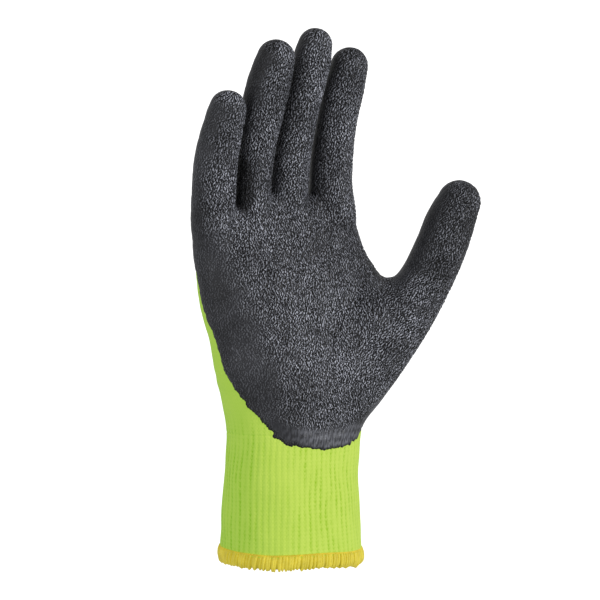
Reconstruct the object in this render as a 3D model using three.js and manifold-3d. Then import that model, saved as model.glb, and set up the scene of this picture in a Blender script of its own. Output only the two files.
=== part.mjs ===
// A knitted work glove for the right hand with a dipped latex coat on its palm side, open and
// hollow, in the form it has when worn: fingers up and a little curled, thumb held out.
// Millimetres. The origin is the middle of the cuff's opening, +Z points up to the fingertips,
// -Y is the palm side and +X the thumb side.
import * as THREE from "three";
import { mergeVertices } from "three/addons/utils/BufferGeometryUtils.js";
import Module from "manifold-3d";

// Walls and clearances
const KNIT_WALL = 1.8;
const COAT_WALL = 1.0;
const COAT_GAP = 0.3;
const JOIN_GAP = 0.3;
const HEM_GAP = 0.45;

// The ribbed cuff and its overlocked hem
const CUFF_BOTTOM = 1.6;
const CUFF_TOP = 65;
const RIB_COUNT = 56;
const RIB_DEPTH = 0.7;
const GATHER_DEPTH = 0.5;

// How far the coat wraps round the sides, behind the middle of the palm and of each finger
const PALM_WRAP = 5;
const FINGER_WRAP = 4.5;

// Facets. A dome stops short of its pole by a share of a step, which leaves a small flat end.
const PALM_SIDES = 24;
const DIGIT_SIDES = 12;
const OVAL_SAMPLES = 64;
const DOME_STEPS = 2;
const ARM_DOME_REST = 0.5;
const DIGIT_DOME_REST = 0.4;
const SQUARENESS = 2.3;

// How far a cutter runs past what it cuts, and how far a region runs past the coat it bounds
const CUTTER_OVERRUN = 1;
const REGION_MARGIN = 0.1;
const BEYOND = 300;

const FINISHES = {
  knit: { color: 0xa6d246, roughness: 0.9 },
  latex: { color: 0x3c3d40, roughness: 0.6 },
  hem: { color: 0xd2b82e, roughness: 0.85 },
};

// Each table gives the outside of the knit. A row is one level section.
const table = (columns, ...lines) =>
  lines.map((line) => Object.fromEntries(columns.map((name, i) => [name, line[i]])));

const ARM = table(
  ["z", "x", "y", "width", "depth"],
  [CUFF_BOTTOM, 0, 0, 71.5, 59],
  [30, 0, 0, 69.5, 54],
  [48, 0.5, 0, 68.5, 51],
  [CUFF_TOP, 1.5, 0, 69.5, 48],
  [80, 1, -1, 75.5, 46],
  [95, 1, -2, 82, 43.5],
  [110, 0.8, -2, 89, 41],
  [125, 0, -2, 97.5, 38.5],
  [136, 0.5, -2, 102.5, 37],
  [144, -2.5, -1.5, 97.5, 35.5],
  [153, -6.5, -1.5, 91.5, 33.5],
  [163, -9, -1.5, 88.5, 30],
  [172, -10.5, -1.5, 86, 25],
);
const ARM_CAP = 4;

// The arm's section at any height between the first two rows
function armRowAt(z) {
  const [low, high] = ARM;
  const blend = (column) => THREE.MathUtils.mapLinear(z, low.z, high.z, low[column], high[column]);
  return { z, x: blend("x"), y: blend("y"), width: blend("width"), depth: blend("depth") };
}

// Finger rows climb along the finger's middle line. The row named by "join" is where the finger
// stall is joined to the hand body.
const DIGIT_COLUMNS = ["z", "x", "y", "width", "depth"];
const DIGITS = {
  little: {
    join: 2,
    rows: table(
      DIGIT_COLUMNS,
      [144, -41, -2, 14, 17],
      [165, -44.9, -4, 18.8, 20.3],
      [182, -47.1, -8.7, 18.4, 19.3],
      [196, -47.9, -13, 18, 18.6],
      [210, -47.6, -18.2, 17, 17.2],
      [219.8, -46.9, -22.6, 15, 15.2],
    ),
  },
  ring: {
    join: 2,
    rows: table(
      DIGIT_COLUMNS,
      [144, -23.5, 0, 15, 19],
      [169, -24.6, -1.8, 19.2, 21.3],
      [187, -26.2, -5.5, 18.5, 20],
      [204, -26.4, -10.8, 18.2, 19],
      [221, -25.2, -17.5, 18, 18.4],
      [235, -24.6, -24, 17.6, 17.8],
      [244, -24, -28.4, 15.4, 15.6],
    ),
  },
  middle: {
    join: 2,
    rows: table(
      DIGIT_COLUMNS,
      [144, -1.5, 0.5, 16, 20],
      [171, -3, -0.5, 19.4, 21.5],
      [189, -4.3, -4, 18.4, 20],
      [206, -4.5, -8.4, 18.1, 19],
      [222, -3.9, -13.7, 17.9, 18.5],
      [237, -2.9, -19.8, 17.6, 17.8],
      [246, -2.3, -24.2, 16.5, 16.6],
      [252, -2.2, -27.2, 14.3, 14.3],
    ),
  },
  index: {
    join: 2,
    rows: table(
      DIGIT_COLUMNS,
      [144, 22, -0.5, 16, 19],
      [170, 22.2, -1.8, 21.2, 21.8],
      [187, 19.6, -4.8, 20, 20.4],
      [203, 18.6, -8, 19.3, 19.6],
      [219, 18.4, -12.7, 18.6, 18.9],
      [235, 19.1, -18.5, 17.8, 17.9],
      [244, 19.8, -22.3, 15.6, 15.7],
    ),
  },
  thumb: {
    join: 4,
    rows: table(
      DIGIT_COLUMNS,
      [72, 17.5, -3, 32, 36],
      [90, 29.8, -8, 33.5, 37],
      [108, 43, -14, 31, 33],
      [124, 54, -20.3, 27, 28.2],
      [141, 63.6, -26, 23.5, 24.6],
      [156, 69, -30.8, 22.8, 22.6],
      [169, 72.8, -33.5, 22, 21.6],
      [178.5, 76.2, -35.5, 19.4, 19.6],
    ),
  },
};

// The coat's lower edge on the heel of the hand, seen from the palm, and its edge along the
// little finger's side, seen from that side
const COAT_EDGE = table(
  ["x", "z"],
  [-70, 62.5],
  [-22, 62.5],
  [-10, 59.8],
  [4, 57.3],
  [17.5, 58.4],
  [29, 60.5],
  [40, 72],
  [56, 84],
  [100, 92],
);
const COAT_SIDE_EDGE = table(
  ["y", "z"],
  [-22, 55],
  [-20.3, 63],
  [-16.8, 73],
  [-11.4, 84],
  [-6.5, 97],
  [-4.6, 111.5],
  [-2.8, 122],
  [0.5, 133],
  [PALM_WRAP, 142],
);
const THUMB_COATED_FROM = 3;

// The coat covers a fingertip all round over its last stretch, past which its front runs on
const TIP_COATED_LENGTH = 17;
const TIP_FRONT_OVERRUN = 4;
const TIP_COVER_SIZE = 60;

const wasm = await Module();
wasm.setup();

function solidOf(geometry) {
  const bare = geometry.clone();
  bare.deleteAttribute("normal");
  bare.deleteAttribute("uv");
  const merged = mergeVertices(bare, 1e-4);
  return new wasm.Manifold(
    new wasm.Mesh({
      numProp: 3,
      vertProperties: merged.attributes.position.array,
      triVerts: new Uint32Array(merged.index.array),
    }),
  );
}

function meshOf(name, solid, finish) {
  const data = solid.getMesh();
  const geometry = new THREE.BufferGeometry();
  geometry.setAttribute("position", new THREE.BufferAttribute(data.vertProperties, 3));
  geometry.setIndex(new THREE.BufferAttribute(data.triVerts, 1));
  geometry.computeVertexNormals();
  const material = new THREE.MeshStandardMaterial({ ...finish, metalness: 0 });
  const mesh = new THREE.Mesh(geometry, material);
  mesh.name = name;
  return mesh;
}

// A closed surface through rings that all have the same number of points, with flat fans as ends.
function loft(rings) {
  const count = rings[0].length;
  const middle = (ring) =>
    ring.reduce((sum, p) => sum.add(p), new THREE.Vector3()).divideScalar(ring.length);
  const points = [...rings.flat(), middle(rings[0]), middle(rings[rings.length - 1])];
  const faces = [];
  for (let r = 0; r < rings.length - 1; r++)
    for (let i = 0; i < count; i++) {
      const a = r * count + i;
      const b = r * count + ((i + 1) % count);
      faces.push(a, b, b + count, a, b + count, a + count);
    }
  const last = (rings.length - 1) * count;
  for (let i = 0; i < count; i++) {
    const next = (i + 1) % count;
    faces.push(next, i, points.length - 2);
    faces.push(last + i, last + next, points.length - 1);
  }
  const geometry = new THREE.BufferGeometry().setFromPoints(points);
  geometry.setIndex(faces);
  return solidOf(geometry);
}

// The points of a rounded oblong about (0, 0), evenly spaced. They lie a little outside the
// curve, so that the straight sides between them touch it.
function ovalPoints(width, depth, sides, squareness) {
  const rim = new THREE.CatmullRomCurve3(
    Array.from({ length: OVAL_SAMPLES }, (_, i) => {
      const angle = (i / OVAL_SAMPLES) * 2 * Math.PI;
      const bend = (value) => Math.sign(value) * Math.abs(value) ** (2 / squareness);
      const x = (width / 2) * bend(Math.cos(angle));
      const y = (depth / 2) * bend(Math.sin(angle));
      return new THREE.Vector3(x, y, 0).divideScalar(Math.cos(Math.PI / sides));
    }),
    true,
  );
  return rim.getSpacedPoints(sides).slice(0, sides);
}

function armRing(row, grow, sides = PALM_SIDES) {
  return ovalPoints(row.width + 2 * grow, row.depth + 2 * grow, sides, SQUARENESS).map(
    (p) => new THREE.Vector3(row.x + p.x, row.y + p.y, row.z),
  );
}

// A solid through arm rows, closed at the top with a low cap where it ends in the hand.
function armSolid(rows, grow, capped) {
  const rings = rows.map((row) => armRing(row, grow));
  if (capped) {
    const top = rows[rows.length - 1];
    for (let step = 1; step <= DOME_STEPS; step++) {
      const angle = (step / (DOME_STEPS + ARM_DOME_REST)) * (Math.PI / 2);
      const level = { ...top, z: top.z + (ARM_CAP + grow) * Math.sin(angle) };
      level.width = top.width - 2 * ARM_CAP * (1 - Math.cos(angle));
      level.depth = top.depth * Math.cos(angle);
      rings.push(armRing(level, grow * Math.cos(angle)));
    }
  }
  return loft(rings);
}

// The axes of a digit's section: along it, across it (thumb side) and towards its back.
function sectionFrames(rows) {
  return rows.map((row, i) => {
    const at = (k) => {
      const r = rows[Math.min(Math.max(k, 0), rows.length - 1)];
      return new THREE.Vector3(r.x, r.y, r.z);
    };
    const along = at(i + 1).sub(at(i - 1)).normalize();
    const across = new THREE.Vector3(0, 1, 0).cross(along).normalize();
    return { centre: at(i), along, across, back: along.clone().cross(across), row };
  });
}

const inSection = (frame, u, v) =>
  frame.centre.clone().addScaledVector(frame.across, u).addScaledVector(frame.back, v);

function digitRing(frame, grow, sides, share = 1) {
  const width = (frame.row.width + 2 * grow) * share;
  const depth = (frame.row.depth + 2 * grow) * share;
  return ovalPoints(width, depth, sides, 2).map((p) => inSection(frame, p.x, p.y));
}

// One digit from one row to its round tip, or to another row's flat end.
function digitSolid(digit, grow, first = 0, last = null, endGap = 0) {
  const frames = sectionFrames(digit.rows);
  const end = last ?? frames.length - 1;
  const rings = frames.slice(first, end + 1).map((f) => digitRing(f, grow, DIGIT_SIDES));
  if (endGap > 0)
    rings[rings.length - 1].forEach((p) => p.addScaledVector(frames[end].along, -endGap));
  if (last === null) {
    const tip = frames[end];
    const length = tip.row.width / 2 + grow;
    for (let step = 1; step <= DOME_STEPS; step++) {
      const angle = (step / (DOME_STEPS + DIGIT_DOME_REST)) * (Math.PI / 2);
      const moved = {
        ...tip,
        centre: tip.centre.clone().addScaledVector(tip.along, length * Math.sin(angle)),
      };
      rings.push(digitRing(moved, grow, DIGIT_SIDES, Math.cos(angle)));
    }
  }
  return loft(rings);
}

const joined = (solids) => solids.reduce((sum, s) => sum.add(s));

// The outside of the whole hand at some distance from the knit's surface.
function handSolid(grow, armRows) {
  const digits = Object.values(DIGITS).map((digit) => digitSolid(digit, grow));
  return joined([armSolid(armRows, grow, true), ...digits]);
}

function ribbedCuff() {
  const rows = ARM.filter((row) => row.z <= CUFF_TOP);
  const ribbed = rows.map((row) =>
    armRing(row, 0, 2 * RIB_COUNT).map((p, i) => {
      const axis = new THREE.Vector3(row.x, row.y, row.z);
      const reach = p.clone().sub(axis);
      return i % 2 ? p : p.sub(reach.setLength(RIB_DEPTH));
    }),
  );
  const bore = rows.map((row) => armRing(row, -KNIT_WALL));
  bore[0].forEach((p) => (p.z -= CUTTER_OVERRUN));
  bore[bore.length - 1].forEach((p) => (p.z += CUTTER_OVERRUN));
  return loft(ribbed).subtract(loft(bore));
}

// The hem wraps the cuff's edge in a channel. Its profile is given as distance outside the
// cuff's surface against height, and gathers pull its outer rim in at every other column.
const HEM_PROFILE = table(
  ["out", "z", "gather"],
  [HEM_GAP, 7.4, 0],
  [1, 6.2, 0.4],
  [1.3, 1.8, 1],
  [0.3, 0, 1],
  [-2.4, 0, 0.5],
  [-KNIT_WALL - 1.6, 1.6, 0],
  [-KNIT_WALL - 1.3, 5.6, 0],
  [-KNIT_WALL - HEM_GAP, 5.6, 0],
  [-KNIT_WALL - HEM_GAP, CUFF_BOTTOM - HEM_GAP, 0],
  [HEM_GAP, CUFF_BOTTOM - HEM_GAP, 0],
);

function overlockHem() {
  const rims = HEM_PROFILE.map((corner) => {
    const row = armRowAt(corner.z);
    const plain = armRing(row, corner.out, RIB_COUNT);
    const pulled = armRing(row, corner.out - corner.gather * GATHER_DEPTH, RIB_COUNT);
    return plain.map((p, i) => (i % 2 ? p : pulled[i]));
  });
  const faces = [];
  rims.forEach((_, r) => {
    const nextRim = ((r + 1) % rims.length) * RIB_COUNT;
    for (let i = 0; i < RIB_COUNT; i++) {
      const j = (i + 1) % RIB_COUNT;
      const [a, b] = [r * RIB_COUNT + i, r * RIB_COUNT + j];
      faces.push(a, nextRim + j, b, a, nextRim + i, nextRim + j);
    }
  });
  const geometry = new THREE.BufferGeometry().setFromPoints(rims.flat());
  geometry.setIndex(faces);
  return solidOf(geometry);
}

function fingerStall(digit) {
  const inside = digitSolid(digit, -KNIT_WALL, digit.join - 1);
  return digitSolid(digit, 0, digit.join).subtract(inside);
}

function handBody() {
  const rows = ARM.filter((row) => row.z >= CUFF_TOP);
  const base = { ...rows[0], z: CUFF_TOP + JOIN_GAP };
  const stubs = Object.values(DIGITS).map((digit) => digitSolid(digit, 0, 0, digit.join, JOIN_GAP));
  const outside = joined([armSolid([base, ...rows.slice(1)], 0, true), ...stubs]);
  const open = { ...rows[0], z: CUFF_TOP - CUTTER_OVERRUN };
  const inside = handSolid(-KNIT_WALL, [open, ...rows.slice(1)]);
  const above = new THREE.BoxGeometry(BEYOND, BEYOND, BEYOND);
  above.translate(0, 0, base.z + BEYOND / 2);
  return outside.subtract(inside).intersect(solidOf(above));
}

// A slab with an outline in X and Z, between two places along Y.
function slab(outline, from, to) {
  const shape = new THREE.Shape(outline.map(([across, z]) => new THREE.Vector2(across, z)));
  const geometry = new THREE.ExtrudeGeometry(shape, { depth: to - from, bevelEnabled: false });
  return geometry.rotateX(Math.PI / 2).translate(0, to, 0);
}

// The part of space that goes into the latex bath.
function dippedRegion() {
  const reach = COAT_GAP + COAT_WALL + REGION_MARGIN;
  const fromPalm = [
    ...COAT_EDGE.map((p) => [p.x, p.z]),
    [COAT_EDGE[COAT_EDGE.length - 1].x, BEYOND],
    [COAT_EDGE[0].x, BEYOND],
  ];
  const fromSide = [
    ...COAT_SIDE_EDGE.map((p) => [p.y, p.z]),
    [PALM_WRAP, BEYOND],
    [-BEYOND, BEYOND],
    [-BEYOND, COAT_SIDE_EDGE[0].z],
  ];
  const front = solidOf(slab(fromPalm, -BEYOND, PALM_WRAP));
  const side = solidOf(slab(fromSide, -BEYOND, BEYOND).rotateZ(Math.PI / 2));
  const palm = armSolid(ARM.slice(2), reach, true).intersect(front).intersect(side);

  const regions = [palm];
  for (const [name, digit] of Object.entries(DIGITS)) {
    const frames = sectionFrames(digit.rows);
    if (name === "thumb") {
      regions.push(digitSolid(digit, reach, THUMB_COATED_FROM));
      regions.push(digitSolid(digit, reach).intersect(front));
      continue;
    }
    const fronts = frames.map((f) => {
      const side = f.row.width / 2 + reach;
      const near = -(f.row.depth / 2 + reach);
      return [
        inSection(f, -side, near),
        inSection(f, side, near),
        inSection(f, side, FINGER_WRAP),
        inSection(f, -side, FINGER_WRAP),
      ];
    });
    const tip = frames[frames.length - 1];
    const end = fronts[fronts.length - 1];
    fronts.push(end.map((p) => p.clone().addScaledVector(tip.along, TIP_FRONT_OVERRUN)));
    regions.push(loft(fronts));
    const tipBase = tip.centre.clone().addScaledVector(tip.along, -TIP_COATED_LENGTH / 2);
    const cover = new THREE.BoxGeometry(TIP_COVER_SIZE, TIP_COVER_SIZE, TIP_COVER_SIZE);
    cover.applyMatrix4(
      new THREE.Matrix4()
        .makeBasis(tip.across, tip.back, tip.along)
        .setPosition(tipBase.addScaledVector(tip.along, TIP_COVER_SIZE / 2)),
    );
    regions.push(digitSolid(digit, reach).intersect(solidOf(cover)));
  }
  return joined(regions);
}

function latexCoat() {
  const rows = ARM.slice(2);
  const open = [{ ...rows[0], z: rows[0].z - CUTTER_OVERRUN }, ...rows.slice(1)];
  const film = handSolid(COAT_GAP + COAT_WALL, rows).subtract(handSolid(COAT_GAP, open));
  const pieces = film.intersect(dippedRegion()).decompose();
  return pieces.reduce((largest, p) => (p.volume() > largest.volume() ? p : largest));
}

const glove = new THREE.Group();
glove.add(meshOf("overlock_hem", overlockHem(), FINISHES.hem));
glove.add(meshOf("rib_cuff", ribbedCuff(), FINISHES.knit));
glove.add(meshOf("hand_body", handBody(), FINISHES.knit));
for (const [name, digit] of Object.entries(DIGITS))
  glove.add(meshOf(`${name}_stall`, fingerStall(digit), FINISHES.knit));
glove.add(meshOf("latex_coat", latexCoat(), FINISHES.latex));

export default glove;
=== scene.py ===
"""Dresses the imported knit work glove: its knit, its crinkled latex coat and its overlocked hem.

It is laid out as an add-on and run as a script. The tables are in millimetres and every mesh is
in metres. +Z points to the fingertips, -Y out of the palm and +X towards the thumb.
"""

import math
from types import SimpleNamespace

import bmesh
import bpy
import numpy as np
from bpy.props import FloatProperty, FloatVectorProperty, IntProperty, PointerProperty
from mathutils import Matrix, Vector


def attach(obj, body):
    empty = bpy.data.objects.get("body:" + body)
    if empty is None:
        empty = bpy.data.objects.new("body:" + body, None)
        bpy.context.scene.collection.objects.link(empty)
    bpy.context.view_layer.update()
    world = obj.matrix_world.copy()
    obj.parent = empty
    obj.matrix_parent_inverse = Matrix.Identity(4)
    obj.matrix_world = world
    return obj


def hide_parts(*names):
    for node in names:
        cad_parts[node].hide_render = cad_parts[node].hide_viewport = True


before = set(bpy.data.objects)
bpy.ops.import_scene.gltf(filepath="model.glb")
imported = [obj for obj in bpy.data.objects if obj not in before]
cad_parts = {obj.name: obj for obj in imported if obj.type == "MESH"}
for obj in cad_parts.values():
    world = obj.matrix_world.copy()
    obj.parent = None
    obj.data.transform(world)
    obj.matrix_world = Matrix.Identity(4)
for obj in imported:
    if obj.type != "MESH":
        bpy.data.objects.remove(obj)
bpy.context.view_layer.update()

bl_info = {
    "name": "Knit work glove",
    "version": (1, 0, 0),
    "blender": (4, 5, 0),
    "location": "3D View > Sidebar > Glove",
    "description": "Builds the knit, the latex coat and the hem of a work glove around its frame",
    "category": "Object",
}

MM = 0.001
BODY = "root"
# How the values of an attribute are read and set, for each kind of it, and how many numbers it has
FIELDS = {"FLOAT": ("value", 1), "FLOAT_VECTOR": ("vector", 3)}
# The forms of the hand that are made already, and shared by the knit and the coat
FORMS = {}

# Sections of the knit's outside, in millimetres. The arm's are level. A digit's stand across its
# middle line and climb along it.
Z, X, Y, WIDTH, DEPTH = range(5)
ARM = (
    (1.6, 0, 0, 71.5, 59),
    (30, 0, 0, 69.5, 54),
    (48, 0.5, 0, 68.5, 51),
    (65, 2.1, 0, 70, 48),
    (80, 2, -1, 76.8, 46),
    (95, 0.6, -2, 83.4, 43.5),
    (110, 0.7, -2, 90, 41),
    (125, 0, -2, 98.6, 38.5),
    (136, 0.3, -2, 103.3, 37),
    (144, -2.8, -1.5, 98.4, 35),
    (153, -6.7, -1.5, 92.8, 31.5),
    (163, -8.7, -1.4, 90, 26),
    (172, -10.3, -1.3, 87, 20),
)
DIGITS = {
    "little": (
        (144, -41, -2, 14, 17),
        (165, -45.3, -4, 19.8, 20.3),
        (182, -47.5, -8.7, 19.4, 19.3),
        (196, -48.5, -13, 19.2, 18.6),
        (210, -47.9, -18.2, 17.6, 17.4),
        (219.8, -46.9, -22.6, 15.3, 15.4),
    ),
    "ring": (
        (144, -23.5, 0, 15, 19),
        (169, -23.8, -1.8, 18.2, 21.3),
        (187, -25.7, -5.5, 17.9, 20),
        (204, -26.4, -10.8, 18.2, 19),
        (221, -25.9, -17.5, 19.3, 18.4),
        (235, -25.3, -24, 19, 17.8),
        (244, -24.4, -28.4, 16, 15.6),
    ),
    "middle": (
        (144, -1.5, 0.5, 16, 20),
        (171, -3, -0.5, 19.4, 21.5),
        (189, -4.3, -4, 18.4, 20),
        (206, -4.5, -8.4, 18.1, 19),
        (222, -3.9, -13.7, 17.9, 18.5),
        (237, -2.9, -19.8, 17.6, 17.8),
        (246, -2.3, -24.2, 16.5, 16.6),
        (252, -2.2, -27.2, 14.3, 14.3),
    ),
    "index": (
        (144, 22, -0.5, 16, 19),
        (170, 22.5, -1.8, 22.6, 21.8),
        (187, 19.4, -4.8, 20.5, 20.4),
        (203, 18.5, -8, 19.7, 19.6),
        (219, 18.4, -12.7, 18.6, 18.9),
        (235, 19.3, -18.5, 18.4, 17.9),
        (244, 20, -22.3, 16.2, 15.7),
    ),
    "thumb": (
        (72, 17.5, -3, 32, 36),
        (90, 30.5, -8, 34.4, 37),
        (108, 43.4, -14, 32.4, 33),
        (124, 54.2, -20.3, 28.2, 28.2),
        (141, 63.4, -26, 24.3, 24.6),
        (156, 68.6, -30.8, 23.8, 22.6),
        (169, 72.5, -33.5, 22.8, 21.6),
        (178.5, 76.2, -35.5, 19.4, 19.6),
    ),
}
FINGERS = ("little", "ring", "middle", "index")

# Webs between the digits and the pad of the thumb: the middle and half sizes of an egg shape in
# each, x, y, z
WEBS = (
    ((-34.8, 1, 166), (6, 8, 8.5)),
    ((-13.8, -3, 171), (6, 8.5, 10.5)),
    ((9, -2.5, 171), (6.5, 8.5, 10.5)),
    ((48.5, -13, 129.5), (8.5, 14, 10.5)),
    ((22, -11, 100), (24, 14.5, 34)),
    ((38, -15.5, 117), (18, 14, 20)),
)
# The row of each digit's table from which a stall is its own piece
JOIN_ROW = {"little": 2, "ring": 2, "middle": 2, "index": 2, "thumb": 4}

# The coat's lower edge seen from the palm (x, z) and its edge on the little finger's side (z, y)
COAT_EDGE = (
    (-70, 62.5), (-22, 62.5), (-10, 59.8), (4, 57.3), (17.5, 58.2), (27, 61), (38, 72),
    (56, 84), (100, 92),
)
COAT_SIDE = (
    (55, -22), (63, -20.3), (73, -16.8), (84, -11.4), (97, -6.5), (111.5, -4.6), (122, -3),
    (133, -1.8), (142, 0), (150, 3.5),
)
# Where the crinkles of the palm begin on the little finger's side (z, x - SLANT y). Beyond it the
# latex is plain and darker: partly smooth latex, partly painted shade on the side turned from the
# light.
CRINKLE_SIDE = (
    (60, -2), (70, -3.3), (80, -4.5), (92.5, -6.2), (105, -13.2), (117, -18.8), (130, -24.6),
    (142, -30), (159.5, -40), (172, -48),
)
# Where the palm is drawn paler or darker: x, z, size and change
TONE_PATCHES = (
    (-19.5, 159, 9, 0.3), (-2.3, 124, 9, 0.28), (5, 101, 13, 0.25), (-42, 168, 7, 0.35),
    (18, 147, 15, -0.16), (-24, 140, 9, -0.12), (28, 122, 12, -0.12), (-6, 82, 9, -0.2),
    (50, 108, 15, 0.22), (16, 118, 16, 0.12),
)
# How far round from the palm side each finger's crinkles reach towards the little finger's side,
# in degrees, at its root and at its tip. Beyond that the latex is plain and darker: partly smooth
# latex, partly painted shade on the side turned from the light.
PLAIN_SIDE = {"little": (62, 30), "ring": (85, 32), "middle": (88, 66), "index": (92, 76)}
# The way that the crinkled side of the thumb faces, and the slope of a line of sight over the palm.
# The thumb's other side is drawn plain and darker, mostly as painted shade.
THUMB_SIDE = np.array([0.87, -0.5, 0])
SLANT = 0.58
# Painted shade in the hollow at the ring finger's root: height of its middle, half height, and
# angle round the finger and half its breadth, in degrees
HOLLOW_SHADE = (184, 17, -56, 46)
# How far the coat reaches behind the palm's and a finger's middle, and how far down a fingertip
PALM_WRAP = 5
FINGER_WRAP = 4.5
TIP_COVER = 8.5
# The coat's rise over the knit: distance inside its edge, and share of its full height
COAT_RISE = ((-0.8, -0.9), (0.1, 0.05), (1.2, 0.55), (5, 0.95), (12, 1))
# Where the coat's heel piece ends, over the hem
HEEL_TOP = 126
# How far inside the coat's edge the knit under it is still made in full, and the share of the
# faces left where nothing shows, in the knit and in the latex
UNDER_COAT = 2.5
KNIT_THIN = 0.1
LATEX_THIN = 0.12
# The pattern of fine wrinkles: how many lie in each of its cells, and how alike their directions
# are, from 0 for no order to 1 for straight lines
WRINKLE_RATE = 1.7
WRINKLE_ORDER = 0.55

# The power of the arm's rounded oblong sections, where 2 is an ellipse, and the steps that an
# oblong and a table of angles round the arm are worked out in
SQUARENESS = 2.3
OVAL_STEPS = 720
ARM_STEPS = 360
# The cuff's lower and upper end, its lap with the palm's knit, and how deep each end sinks there
CUFF_BOTTOM = 2.8
CUFF_TOP = 65
JOIN_LAP = 1.4
JOIN_SINK = 0.4
# The arm's form starts inside the cuff and ends in a low dome
FORM_BOTTOM = 48
ARM_CAP = 4
ARM_SIDES = 96
DIGIT_SIDES = 48
COARSE = 1.1
KNIT = 0.75
LATEX = 0.4
# The fewest faces that a whole hand can have, and the points whose place is worked out at once
FEWEST_FACES = 10000
CHUNK = 20000
# The rows between two rows of the cuff's plain inside
INSIDE_STEP = 12
# Where the painted shade between the ribs is drawn faint: the middle and half the breadth of each
# place, as shares of a turn from the middle of the back
FLAT_SIDES = ((0.3, 0.08), (0.61, 0.06))
# The way round the cuff and round the coat's lower edge that their unevenness is laid out on
CUFF_GIRTH = 220
BAND_GIRTH = 230

# The path of one thread wrap over the cuff's edge, and the core of yarn under the wraps, as
# distance outside the cuff and height
WRAP_PATH = (
    (-0.9, 8.5), (-0.1, 8.7), (0.3, 7.8), (0.5, 6.2), (0.5, 4.5), (0.3, 3.0), (-0.4, 2.0),
    (-1.3, 1.7), (-2.3, 2.0), (-3.0, 3.0), (-3.2, 4.5), (-2.9, 6.0), (-1.8, 6.9),
)
HEM_CORE = (
    (-0.4, 8.1), (0.1, 7.5), (0.3, 5.4), (0.1, 3.4), (-0.6, 2.3), (-1.8, 2.2), (-2.6, 3.2),
    (-2.7, 5.6), (-1.7, 6.4), (-1.0, 7.4), (-0.4, 8.1),
)
# How far the hem sags on its thumb side and in the middle of its palm and back
HEM_SAG = 2.3
MIDDLE_SAG = 0.6
THREAD_SIDES = 6
# What the thread's UV map is laid out on: the cuff's radius, and a stretch up the hem
HEM_RADIUS = 33
HEM_STRETCH = 1.2
# The chain's threads: distance outside the cuff, height, half the thread's width, how far it
# swings in and out, and up and down, and its rings for each loop
CHAIN_OUT, CHAIN_RISE, CHAIN_HALF = 0.05, 8.6, 0.36
CHAIN_SWING, CHAIN_LIFT, CHAIN_RINGS = 0.3, 0.34, 5

# The studio's floor, the radius of its bend up into the wall, and the wall's top, over the floor
FLOOR_RADIUS = 1500
STUDIO_BEND = 500
WALL_TOP = 2400
# Softboxes: place in metres, width, strength in watts; and the height that they face
LIGHTS = {
    "key": ((0.85, -1.3, 0.45), 0.45, 13.5),
    "fill": ((-1.3, -0.8, 0.35), 1.2, 5),
}
LIGHTS_FACE = 0.13
# What the camera looks at, to the right of the middle and over the hem, in metres, and its lens
TARGET = (0.0045, 0.1297)
LENS = 97
SENSOR = 36

LENGTH = {"subtype": "DISTANCE", "unit": "LENGTH"}
ANGLE = {"subtype": "ANGLE", "unit": "ROTATION"}
COLOUR = {"min": 0, "max": 1, "subtype": "COLOR"}


def hex_colour(code):
    """An sRGB hex value as linear red, green and blue."""
    parts = [int(code[i:i + 2], 16) / 255 for i in (0, 2, 4)]
    return tuple(c / 12.92 if c <= 0.04045 else ((c + 0.055) / 1.055) ** 2.4 for c in parts)


class KnitSettings(bpy.types.PropertyGroup):
    """Sizes and colours of the knit."""

    wall: FloatProperty(
        name="Knit thickness", description="Thickness of the brushed knit",
        default=0.0018, min=0.0005, max=0.004, **LENGTH,
    )
    course: FloatProperty(
        name="Course height", description="Height of one row of stitches",
        default=0.0019, min=0.0008, max=0.004, **LENGTH,
    )
    colour: FloatVectorProperty(
        name="Yarn colour", description="Colour of the acrylic yarn",
        default=hex_colour("c8c362"), **COLOUR,
    )
    # Painted shade: the darker colour that the knit is given between its stitches and ribs
    shade: FloatVectorProperty(
        name="Gap colour", description="Colour deep between the stitches",
        default=hex_colour("949a24"), **COLOUR,
    )


class CuffSettings(bpy.types.PropertyGroup):
    """Sizes of the ribbed cuff."""

    ribs: IntProperty(
        name="Ribs", description="Number of ribs round the wrist, two columns of stitches each",
        default=66, min=20, max=100,
    )
    depth: FloatProperty(
        name="Rib depth", description="How deep the valleys between the ribs are",
        default=0.00024, min=0, max=0.002, **LENGTH,
    )


class HemSettings(bpy.types.PropertyGroup):
    """Sizes and colours of the overlocked hem."""

    wraps: IntProperty(
        name="Wraps", description="Number of thread wraps round the hem",
        default=132, min=40, max=300,
    )
    thread: FloatProperty(
        name="Thread width", description="Width of one wrap of textured thread",
        default=0.00148, min=0.0005, max=0.003, **LENGTH,
    )
    colour: FloatVectorProperty(
        name="Thread colour", description="Colour of the overlock thread",
        default=hex_colour("bdb046"), **COLOUR,
    )
    chain_colour: FloatVectorProperty(
        name="Chain colour", description="Colour of the chain along the hem's upper edge",
        default=hex_colour("c4b040"), **COLOUR,
    )


class CoatSettings(bpy.types.PropertyGroup):
    """Sizes and colours of the latex coat."""

    height: FloatProperty(
        name="Coat height", description="How far the coat stands proud of the knit",
        default=0.00115, min=0.0003, max=0.003, **LENGTH,
    )
    skin: FloatProperty(
        name="Skin", description="Thickness of the latex skin",
        default=0.0008, min=0.0003, max=0.002, **LENGTH,
    )
    crinkle: FloatProperty(
        name="Crinkle height", description="Height of the crinkles over their middle level",
        default=0.00022, min=0, max=0.001, **LENGTH,
    )
    pitch: FloatProperty(
        name="Crinkle pitch", description="Usual distance from one crinkle to the next",
        default=0.002, min=0.001, max=0.01, **LENGTH,
    )
    wrinkle: FloatProperty(
        name="Wrinkle pitch", description="Distance from one fine wrinkle to the next",
        default=0.0011, min=0.0005, max=0.005, **LENGTH,
    )
    colour: FloatVectorProperty(
        name="Latex colour", description="Colour of the latex",
        default=hex_colour("343539"), **COLOUR,
    )


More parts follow.
